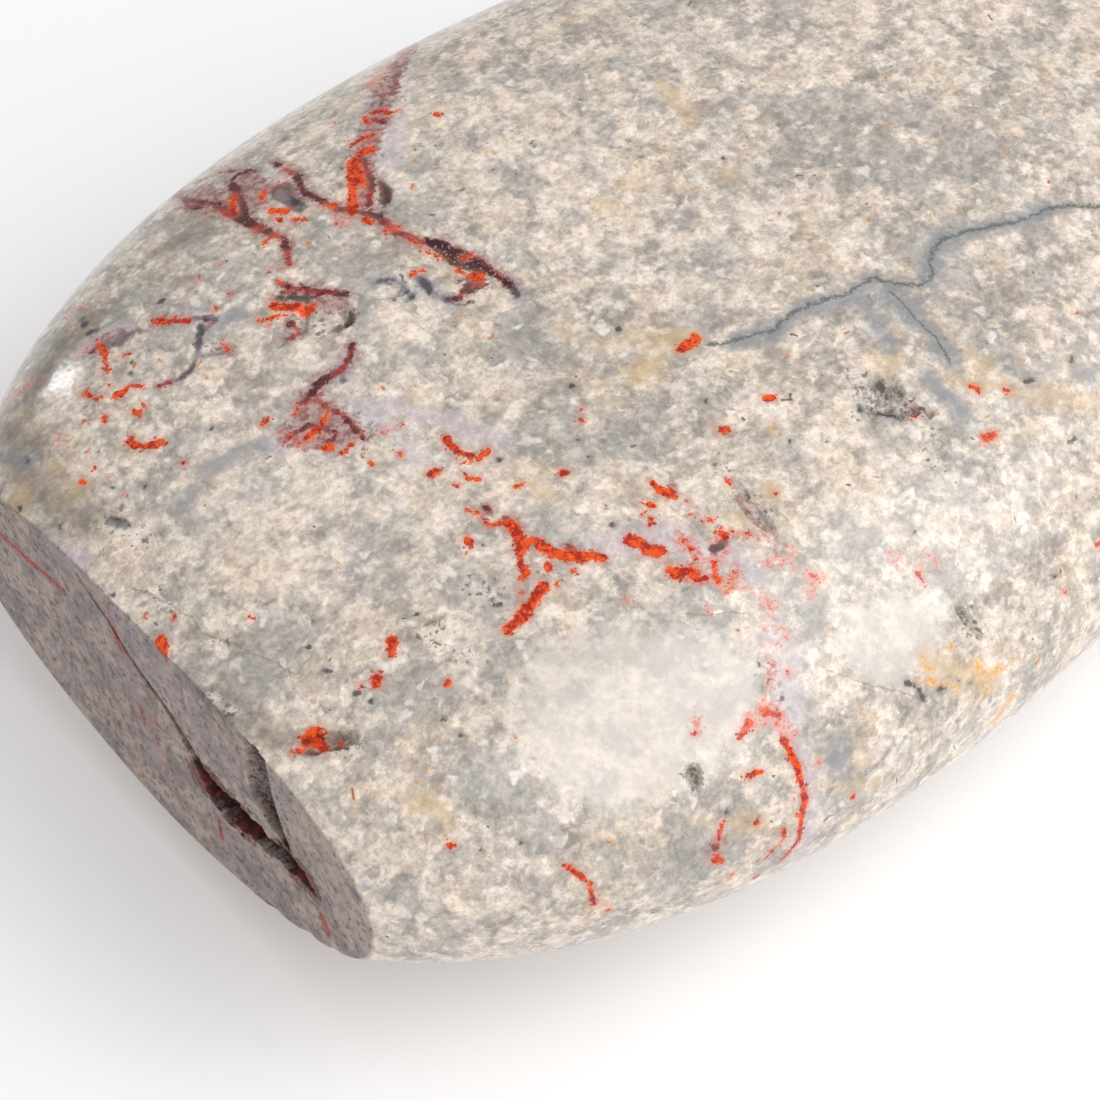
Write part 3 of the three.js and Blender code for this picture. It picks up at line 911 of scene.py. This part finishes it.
def flaw_strokes():
    """Strokes over the pits and the crevice, to refine the mesh there."""
    widest = max(half_width for _, _, half_width, _ in CROWN_SCUFF)
    strokes = [(widest, on_crown([stop[:2] for stop in CROWN_SCUFF]))]
    for x, y, length, width, *_ in CROWN_PITS:
        strokes.append((max(length, width) / 2, on_crown([(x, y)])))
    for start, end in zip(CREVICE, CREVICE[1:]):
        strokes.append((max(start[2], end[2]), on_cut([start[:2], end[:2]])))
    strokes.append((SLIVER_EDGE_WIDTH, on_cut(SLIVER_EDGE + SLIVER_EDGE[:1])))
    for y, z, length, _ in EDGE_CHIPS:
        strokes.append((length / 2, on_cut([(y, z)])))
    return strokes


def outline_strokes(rays, patches):
    """The outlines of patches as strokes of no width."""
    return [(0.0, rays.path(pairs(outline + outline[:2]))) for outline in patches]


def marking_fields(rays, drawn, lines, points, out):
    """How far each place is from each marking, by the marking's name."""
    facing = dot(out, CAMERA_AT - points) > 0
    fields = {name: gap_to_strokes(points, strokes) for name, strokes in drawn.items()}
    for name, patches in PATCHES.items():
        fields[name] = gap_to_patches(points, rays, facing, patches)
    linings = [(half_width, on_cut(stops)) for half_width, stops in CAVITY_LININGS]
    fields["wine"] = np.minimum(fields["wine"], gap_to_strokes(points, linings))
    for name, strokes in lines.items():
        fields[f"{name}_gap"], fields[f"{name}_side"] = side_of_strokes(points, strokes, out)
    return fields


def closed_mesh(sheet, places, fields):
    """The sheet put at its places on the stone and welded shut, with the fields on its vertices."""
    for vertex, place in zip(sheet.verts, places * MM):
        vertex.co = place
    for name in fields:
        sheet.verts.layers.float.new(name)
    for name, values in fields.items():
        layer = sheet.verts.layers.float[name]
        for vertex, value in zip(sheet.verts, values):
            vertex[layer] = float(value)
    bmesh.ops.remove_doubles(sheet, verts=sheet.verts, dist=WELD * MM)
    bmesh.ops.recalc_face_normals(sheet, faces=sheet.faces)
    mesh = bpy.data.meshes.new("stone_surface")
    sheet.to_mesh(mesh)
    sheet.free()
    mesh.shade_smooth()
    mesh.set_sharp_from_angle(angle=SHARP_ANGLE)
    return mesh


def added(name, data):
    """A new object in the scene."""
    made = bpy.data.objects.new(name, data)
    bpy.context.scene.collection.objects.link(made)
    return made


def stone_piece():
    """The stone as one closed mesh, fine near its markings."""
    rays = PhotoRays()
    drawn = {name: photo_strokes(rays, table) for name, table in STROKES.items()}
    lines = {name: photo_strokes(rays, table) for name, table in LINES.items()}
    sharp = [stroke for name in SHARP_STROKES for stroke in drawn[name]]
    sharp += lines["crack"] + lines["hairline"] + flaw_strokes()
    for name in SHARP_PATCHES:
        sharp += outline_strokes(rays, PATCHES[name])
    sheet = refined_sheet(sharp)
    station, angle, _ = sheet_coordinates(sheet).T
    points, out = stone_surface(station, angle), outward(station, angle)
    fields = marking_fields(rays, drawn, lines, points, out)
    sunk, fields["hollow"] = flawed_stone(points, out)
    fields["unseen"] = turned_away(points, out)
    fields["sawn"] = (station < -SAWN_REACH - ON_FACE).astype(float)
    return added("polished_stone", closed_mesh(sheet, sunk, fields))


def tone(red, green, blue):
    """A colour as seen on screen, from 0 to 255, as the renderer's own linear values."""
    seen = [c / 255 for c in (red, green, blue)]
    return tuple(c / 12.92 if c <= 0.04045 else ((c + 0.055) / 1.055) ** 2.4 for c in seen) + (1,)


class Paint:
    """Builds a material's nodes out of named steps."""

    def __init__(self, name):
        self.material = bpy.data.materials.new(name)
        self.material.use_nodes = True
        self.tree = self.material.node_tree
        self.shader = self.tree.nodes["Principled BSDF"]
        self.place = self.node("ShaderNodeTexCoord").outputs["Object"]

    def node(self, kind, **settings):
        made = self.tree.nodes.new(kind)
        for name, value in settings.items():
            setattr(made, name, value)
        return made

    def plug(self, socket, value):
        if isinstance(value, bpy.types.NodeSocket):
            self.tree.links.new(value, socket)
        else:
            socket.default_value = value

    def wear(self, looks):
        """The material, with values or outputs in the named sockets of its shader."""
        for name, value in looks.items():
            self.plug(self.shader.inputs[name], value)
        return self.material

    def filled(self, kind, values, **settings):
        """A node with values or other nodes' outputs in its first sockets."""
        made = self.node(kind, **settings)
        for socket, value in zip(made.inputs, values):
            self.plug(socket, value)
        return made

    def vector(self, operation, first, second):
        return self.filled("ShaderNodeVectorMath", (first, second), operation=operation).outputs[0]

    def shifted(self, amount):
        """The place moved along by an amount in millimetres, so that equal noises don't line up."""
        return self.vector("ADD", self.place, (amount * MM, 0.7 * amount * MM, 1.3 * amount * MM))

    def noise_node(self, size, place, detail, roughness):
        made = self.node("ShaderNodeTexNoise")
        self.plug(made.inputs["Vector"], place)
        made.inputs["Scale"].default_value = 1 / (size * MM)
        made.inputs["Detail"].default_value = detail
        made.inputs["Roughness"].default_value = roughness
        return made

    def noise(self, size, detail, shift, roughness=0.5):
        """A value that wanders round 0.5 over a size in millimetres."""
        return self.noise_node(size, self.shifted(shift), detail, roughness).outputs["Fac"]

    def shaken(self, size, amount):
        """The place, moved about at random by up to an amount in millimetres."""
        wandering = self.noise_node(size, self.place, 0, 0.5).outputs["Color"]
        centred = self.vector("SUBTRACT", wandering, (0.5, 0.5, 0.5))
        scaled = self.node("ShaderNodeVectorMath", operation="SCALE")
        self.plug(scaled.inputs[0], centred)
        scaled.inputs["Scale"].default_value = 2 * amount * MM
        return self.vector("ADD", self.place, scaled.outputs[0])

    def cells(self, size, place):
        """Grains of a size in millimetres: the gap to each one's middle, and three random values of it."""
        made = self.node("ShaderNodeTexVoronoi")
        self.plug(made.inputs["Vector"], place)
        made.inputs["Scale"].default_value = 1 / (size * MM)
        split = self.filled("ShaderNodeSeparateColor", [made.outputs["Color"]])
        return made.outputs["Distance"], *split.outputs

    def field(self, name):
        return self.node("ShaderNodeAttribute", attribute_name=name).outputs["Fac"]

    def math(self, operation, *values):
        return self.filled("ShaderNodeMath", values, operation=operation).outputs[0]

    def times(self, first, second):
        return self.math("MULTIPLY", first, second)

    def larger(self, first, second):
        return self.math("MAXIMUM", first, second)

    def sum(self, *values):
        total = values[0]
        for value in values[1:]:
            total = self.math("ADD", total, value)
        return total

    def between(self, value, start, end, first=0.0, last=1.0):
        """A smooth step from first to last as the value goes from start to end."""
        values = (value, start, end, first, last)
        return self.filled("ShaderNodeMapRange", values, interpolation_type="SMOOTHSTEP").outputs[0]

    def blend(self, under, over, factor, kind="MIX"):
        made = self.node("ShaderNodeMix", data_type="RGBA", blend_type=kind)
        for place, value in ((0, factor), (6, under), (7, over)):
            self.plug(made.inputs[place], value)
        return made.outputs[2]

    def mixed(self, first, second, value, start, end, most=1.0):
        """Two colours as seen on screen, from the first to the second as the value goes from start to end."""
        return self.blend(tone(*first), tone(*second), self.between(value, start, end, 0, most))


class RockPaint(Paint):
    """The paint of this rock: the noises that fray its markings, and a colour that coats are laid over."""

    def __init__(self):
        super().__init__("polished_rock")
        self.fray = self.noise(0.55, detail=2, roughness=0.6, shift=21)
        self.wander = self.noise(1.7, detail=2, roughness=0.6, shift=22)
        self.patches = self.noise(4.5, detail=3, roughness=0.62, shift=90)
        self.fine = self.noise(0.8, detail=3, roughness=0.8, shift=1)
        self.crumbs = self.noise(0.26, detail=1, roughness=0.6, shift=61)
        self.colour = tone(179, 169, 159)

    def coat(self, over, strength, kind="MIX"):
        self.colour = self.blend(self.colour, over, strength, kind)

    def swing(self, value, reach):
        """A noise as a length in millimetres that swings to both sides of 0."""
        return self.math("MULTIPLY_ADD", value, reach, -reach / 2)

    def shows(self, name, fraying, fading, strength):
        """How strongly a marking shows. Its gap is frayed finely and broadly, then fades over a range."""
        sharp, soft = fraying
        gap = self.sum(self.field(name), self.swing(self.fray, sharp), self.swing(self.wander, soft))
        return self.between(gap, *fading, strength, 0)

    def mark(self, name, fraying, fading, strength, colour):
        self.coat(colour, self.shows(name, fraying, fading, strength))

    def flecks(self, name, spread):
        """Small bits of a marking scattered round it, ever fewer farther out."""
        return self.between(self.sum(self.fray, self.times(self.field(name), -spread)), 0.56, 0.6)


def mottled_ground(rock):
    """The rock between the markings: mottled cream, warm grey and blue grey."""
    mottle = rock.noise(2.2, detail=4, roughness=0.72, shift=50)
    paler = rock.between(rock.field("pale"), -2.0, 3.0, 0.07, 0)
    greyer = rock.between(rock.field("grey"), -2.0, 3.0, 0.08, 0)
    lean = rock.sum(mottle, paler, rock.times(greyer, -1.0))
    rock.coat(tone(235, 220, 205), rock.between(lean, 0.36, 0.59))
    rock.coat(tone(176, 171, 166), rock.between(rock.sum(rock.patches, greyer), 0.5, 0.64, 0, 0.7))
    rock.coat(tone(226, 205, 182), rock.between(rock.patches, 0.36, 0.46, 0.45, 0))


def grains(rock):
    """Tinted, white, dull and rusty grains, and small black and orange dots in the middle of some."""
    distance, pick, other_pick, tint_pick = rock.cells(1.25, rock.shaken(0.9, 0.75))
    rock.coat(rock.between(tint_pick, 0.0, 1.0, 0.87, 1.12), 1.0, "MULTIPLY")
    grain = rock.between(distance, 0.2, 0.55, 1, 0)
    rock.coat(tone(240, 232, 223), rock.times(grain, rock.between(pick, 0.55, 0.85, 0, 0.8)))
    rock.coat(tone(150, 146, 142), rock.times(grain, rock.between(other_pick, 0.8, 0.9, 0, 0.5)))
    middle = rock.between(distance, 0.1, 0.34, 1, 0)
    rock.coat(tone(206, 170, 130), rock.times(middle, rock.between(other_pick, 0.16, 0.22, 0.7, 0)))
    rock.coat(rock.between(rock.fine, 0.3, 0.7, 0.76, 1.2), 1.0, "MULTIPLY")
    speck = rock.between(rock.sum(distance, rock.times(tint_pick, -0.13)), 0.0, 0.05, 1, 0)
    rock.coat(tone(96, 84, 76), rock.times(speck, rock.between(pick, 0.14, 0.2, 0.85, 0)))
    rock.coat(tone(214, 120, 78), rock.times(speck, rock.between(other_pick, 0.08, 0.12, 0.85, 0)))


def soft_stains(rock):
    """The pale clasts; dull brown-grey marks, partly stains and partly painted shade along the rims; and the
    ochre, amber, slate, lilac and pink stains.
    """
    amber = rock.mixed((236, 160, 60), (238, 208, 164), rock.crumbs, 0.42, 0.6)
    mist = rock.mixed((196, 182, 190), (220, 208, 212), rock.fray, 0.4, 0.6)
    blush = rock.mixed((222, 92, 66), (222, 172, 162), rock.crumbs, 0.38, 0.54)
    rock.mark("clast", (3.0, 5.0), (-1.4, 1.2), 0.6, tone(229, 220, 211))
    # Dull brown-grey: stains, and painted shade along the left rim and left end.
    rock.mark("drab_and_rim_shade", (2.5, 4.0), (-1.5, 2.0), 0.7, tone(134, 121, 108))
    rock.mark("ochre", (2.2, 3.0), (-0.8, 1.2), 0.6, tone(216, 184, 138))
    rock.mark("amber", (1.8, 1.0), (-0.2, 0.35), 0.8, amber)
    rock.mark("slate", (1.2, 1.6), (-0.3, 1.0), 0.75, tone(146, 148, 154))
    rock.mark("lilac", (2.2, 2.4), (-0.6, 0.9), 0.7, mist)
    rock.mark("blush", (2.4, 1.0), (-0.25, 0.45), 0.75, blush)


def broken_spots(rock, crumbled):
    """Grime in the hollows, and pale and dark crumbs where the rock is crumbled."""
    hollow = rock.between(rock.field("hollow"), 0.08, 0.9)
    dirt = rock.times(hollow, rock.between(rock.fray, 0.36, 0.6, 0.4, 1))
    rock.coat(rock.mixed((104, 92, 84), (196, 188, 178), rock.crumbs, 0.5, 0.64, 0.85), dirt)
    rock.coat(tone(233, 228, 222), rock.times(crumbled, rock.between(rock.fray, 0.46, 0.6, 0, 0.85)))
    rock.coat(tone(104, 95, 88), rock.times(crumbled, rock.between(rock.fray, 0.36, 0.42, 0.75, 0)))


def dark_veins(rock, garnet):
    """Russet and smoky patches, and the garnet veins with the dull stain round them."""
    russet = rock.mixed((88, 62, 58), (130, 102, 96), rock.wander, 0.4, 0.62)
    smoke = rock.mixed((62, 54, 64), (136, 130, 134), rock.wander, 0.4, 0.62)
    wine = rock.mixed((84, 28, 24), (176, 56, 40), rock.fray, 0.42, 0.6)
    dark = rock.mixed((62, 26, 30), (190, 160, 152), rock.crumbs, 0.6, 0.66, 0.8)
    rock.mark("russet", (0.3, 0.2), (-0.12, 0.2), 0.85, russet)
    around = rock.shows("garnet", (0.9, 1.6), (-0.1, 1.0), 0.72)
    around = rock.larger(around, rock.shows("mauve", (1.6, 0.8), (-0.3, 0.4), 0.8))
    rock.coat(rock.mixed((140, 86, 84), (186, 150, 148), rock.fray, 0.4, 0.6), around)
    rock.mark("smoke", (0.5, 0.7), (-0.15, 0.25), 0.85, smoke)
    solid = rock.shows("garnet", (0.8, 0.8), (-0.1, 0.12), 0.92)
    rock.coat(garnet, rock.larger(solid, rock.times(rock.flecks("garnet", 0.35), 0.7)))
    rock.mark("wine", (2.4, 2.0), (-0.4, 0.3), 0.9, wine)
    rock.mark("dark", (0.3, 0.2), (-0.15, 0.1), 0.95, dark)


def specks_and_reds(rock, red):
    """Black specks in their soot, then the vermilion veins and specks in a thin rosy halo."""
    rock.mark("ink", (0.8, 0.8), (-0.1, 0.7), 0.4, tone(132, 130, 128))
    rock.mark("ink", (0.9, 0.3), (-0.14, 0.12), 0.85, tone(72, 68, 66))
    rock.mark("cinnabar", (0.6, 1.0), (-0.1, 0.7), 0.4, tone(212, 132, 108))
    solid = rock.shows("cinnabar", (0.9, 0.8), (-0.1, 0.06), 0.97)
    rock.coat(red, rock.larger(solid, rock.times(rock.flecks("cinnabar", 0.3), 0.9)))


def healed_cracks(rock):
    """The grey-green healed crack in its soft halo, and the hairlines. All are bent a little by noise."""
    rock.mark("crack_gap", (0.0, 3.0), (-0.3, 0.7), 0.35, tone(146, 150, 146))
    bend = rock.times(rock.sum(rock.wander, rock.fray, -1.0), 5.0)
    for name, shade, strength in (("crack", (104, 109, 104), 0.9), ("hairline", (140, 124, 108), 0.6)):
        side = rock.math("ABSOLUTE", rock.sum(rock.field(f"{name}_side"), bend))
        line = rock.between(rock.sum(side, rock.times(rock.crumbs, 3.0)), 1.4, 3.2, strength, 0)
        ended = rock.between(rock.field(f"{name}_gap"), 0.2, 0.5, 1, 0)
        rock.coat(tone(*shade), rock.times(line, ended))


def hidden_veins(rock, garnet, red):
    """A few thin veins on the sides that the photo doesn't show, where a broad noise passes a level."""
    level = rock.sum(rock.noise(24, detail=0, shift=77), rock.times(rock.wander, 0.12), -0.56)
    off_vein = rock.sum(rock.math("ABSOLUTE", level), rock.times(rock.fray, 0.02))
    vein = rock.between(off_vein, 0.012, 0.02, 0.9, 0)
    hidden = rock.times(rock.field("unseen"), rock.between(rock.patches, 0.44, 0.5))
    shade = rock.blend(garnet, red, rock.between(rock.fine, 0.46, 0.54))
    rock.coat(shade, rock.times(vein, hidden))


def stone_finish():
    """The polished rock, which is rough in its hollows, where it is crumbled and where it is sawn."""
    rock = RockPaint()
    sawn = rock.field("sawn")
    crumbled = rock.shows("chalk", (3.0, 2.0), (-0.3, 0.5), 1)
    garnet = rock.mixed((76, 22, 28), (164, 44, 34), rock.wander, 0.4, 0.62)
    garnet = rock.blend(garnet, tone(196, 150, 142), rock.between(rock.crumbs, 0.64, 0.72, 0, 0.6))
    red = rock.mixed((170, 22, 0), (242, 84, 4), rock.fine, 0.42, 0.58)
    red = rock.blend(red, tone(250, 146, 84), rock.between(rock.crumbs, 0.62, 0.72, 0, 0.5))
    mottled_ground(rock)
    grains(rock)
    soft_stains(rock)
    broken_spots(rock, crumbled)
    dark_veins(rock, garnet)
    specks_and_reds(rock, red)
    healed_cracks(rock)
    hidden_veins(rock, garnet, red)
    # The sawn face is darkened: partly its own duller colour, partly painted shade of a face turned away from
    # the lights.
    rock.coat(tone(194, 184, 188), sawn, "MULTIPLY")
    rock.coat(tone(72, 66, 66), rock.times(sawn, rock.between(rock.fine, 0.38, 0.42, 0.7, 0)))
    rough = rock.between(rock.field("hollow"), 0.02, 0.2, 0.15, 0.75)
    rough = rock.larger(rock.larger(rough, rock.times(sawn, 0.5)), rock.times(crumbled, 0.65))
    bump = rock.node("ShaderNodeBump")
    bump.inputs["Strength"].default_value = 0.14
    bump.inputs["Distance"].default_value = 0.05 * MM
    rock.plug(bump.inputs["Height"], rock.noise(0.5, detail=0, shift=41))
    return rock.wear({"Base Color": rock.colour, "Roughness": rough, "Normal": bump.outputs[0]})


def floor():
    """A pale table top under the stone. It isn't part of the object."""
    half = FLOOR_HALF * MM
    corners = [(-half, -half, 0), (half, -half, 0), (half, half, 0), (-half, half, 0)]
    mesh = bpy.data.meshes.new("floor")
    mesh.from_pydata(corners, [], [(0, 1, 2, 3)])
    mesh.materials.append(Paint("floor").wear(FLOOR_LOOK))
    made = added("floor", mesh)


def softbox(name, way, distance, size, power):
    """An area light out along a way from the stone, facing it."""
    light = bpy.data.lights.new(name, "AREA")
    light.shape = "RECTANGLE"
    light.size, light.size_y = size[0] * MM, size[1] * MM
    light.energy = power
    made = added(name, light)
    middle = Vector((0, 0, CENTRE[2]))
    made.location = (middle + Vector(way).normalized() * distance) * MM
    made.rotation_euler = (-Vector(way)).to_track_quat("-Z", "Y").to_euler()


def lights():
    for name, settings in SOFTBOXES.items():
        softbox(name, *settings)
    world = bpy.data.worlds.new("studio")
    world.use_nodes = True
    surround = world.node_tree.nodes["Background"]
    surround.inputs["Color"].default_value = (1, 1, 1, 1)
    surround.inputs["Strength"].default_value = SURROUND
    bpy.context.scene.world = world


def camera():
    """The camera, where the photo was taken from."""
    lens = bpy.data.cameras.new("camera")
    lens.lens, lens.sensor_width = LENS, SENSOR
    lens.clip_end = VIEW_DEPTH * MM
    made = added("camera", lens)
    made.location = Vector(CAMERA_AT) * MM
    made.rotation_euler = Vector(CAMERA_AIM - CAMERA_AT).to_track_quat("-Z", "Y").to_euler()
    bpy.context.scene.camera = made


piece = stone_piece()
piece.data.materials.append(stone_finish())
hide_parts("stone")
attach(piece, "root")
floor()
lights()
camera()
bpy.context.scene.view_settings.view_transform = "Standard"
